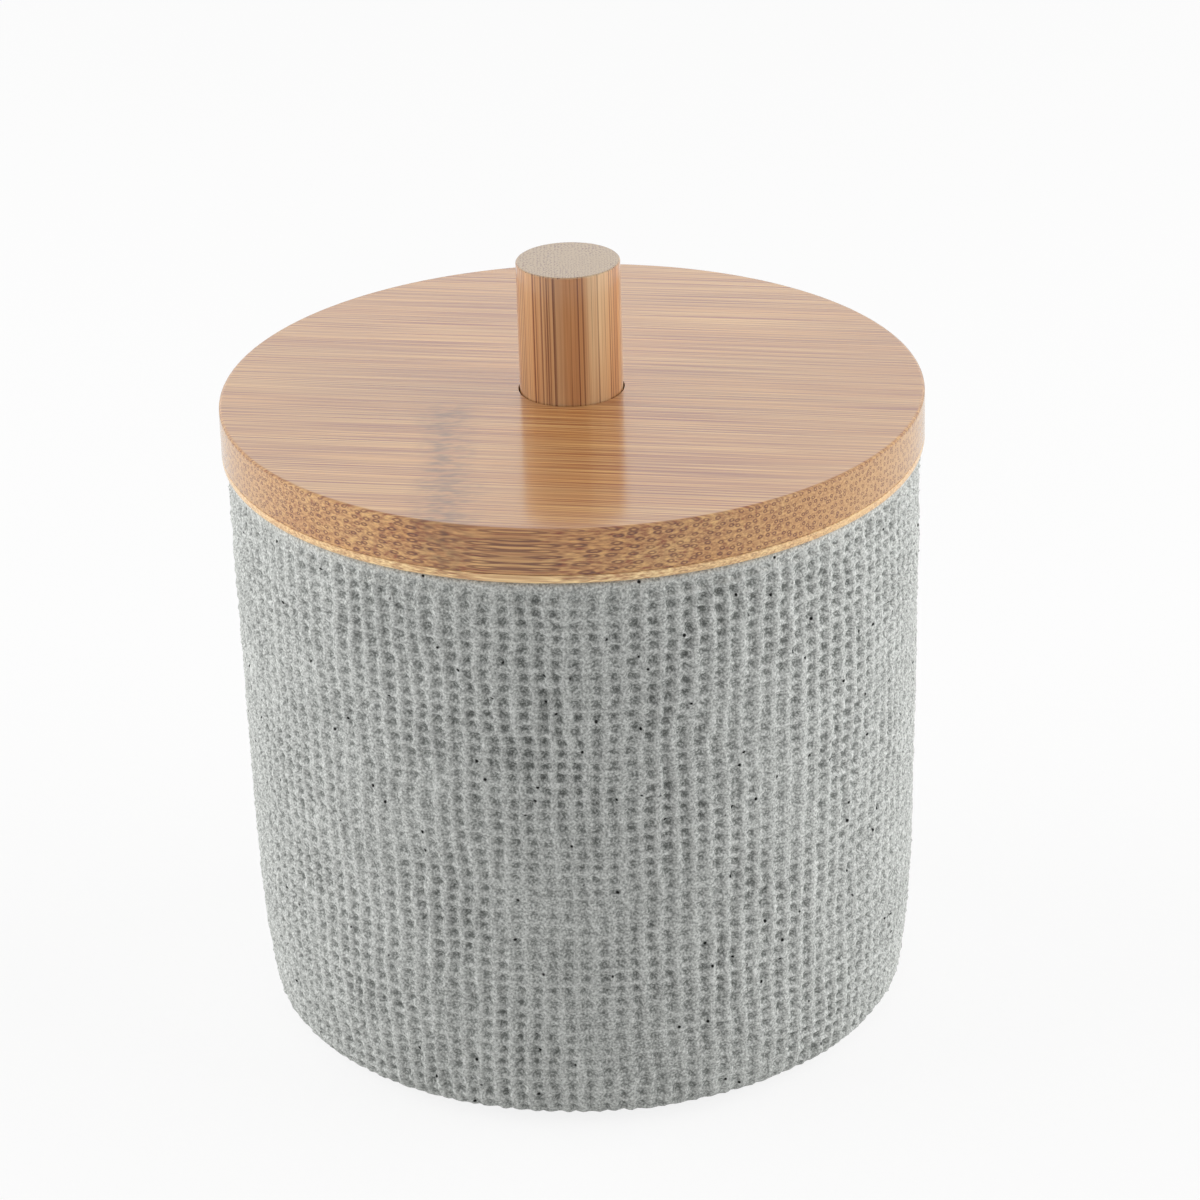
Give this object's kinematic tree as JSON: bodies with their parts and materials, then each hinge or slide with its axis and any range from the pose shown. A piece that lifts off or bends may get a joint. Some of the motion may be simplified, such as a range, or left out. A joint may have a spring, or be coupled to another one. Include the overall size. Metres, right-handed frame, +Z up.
{
  "type": "cotton pad holder",
  "caption": "Round cast-stone jar with a woven-cloth relief and a bamboo lid with a dowel knob; it holds cotton pads on a vanity or bathroom shelf.",
  "frame": {"origin": "middle of the base, on the surface that the feet stand on", "axes": "+Z up along the axis of the jar, +X along the grain of the lid, -Y towards the front"},
  "size_m": [0.102, 0.102, 0.1151],
  "materials": {
    "cast_stone": "matte",
    "bamboo": "satin",
    "silicone": "satin",
    "foot_foam": "matte",
    "zinc_plated_steel": "satin"
  },
  "bodies": {
    "jar": {"jar_body": "cast_stone", "foot_front_left": "foot_foam", "foot_front_right": "foot_foam", "foot_rear_left": "foot_foam", "foot_rear_right": "foot_foam"},
    "ring": {"seal_ring": "silicone"},
    "lid": {"lid_base_ply": "bamboo", "lid_top_ply": "bamboo", "knob": "bamboo", "knob_screw": "zinc_plated_steel"}
  },
  "joints": [
    {"name": "lid_lift", "type": "slide", "parent": "jar", "child": "ring", "axis": [0, 0, 1], "range_m": [0, 0.1]},
    {"name": "lid_turn", "type": "hinge", "parent": "ring", "child": "lid", "pos_m": [0, 0, 0.0847], "axis": [0, 0, 1], "continuous": true}
  ]
}
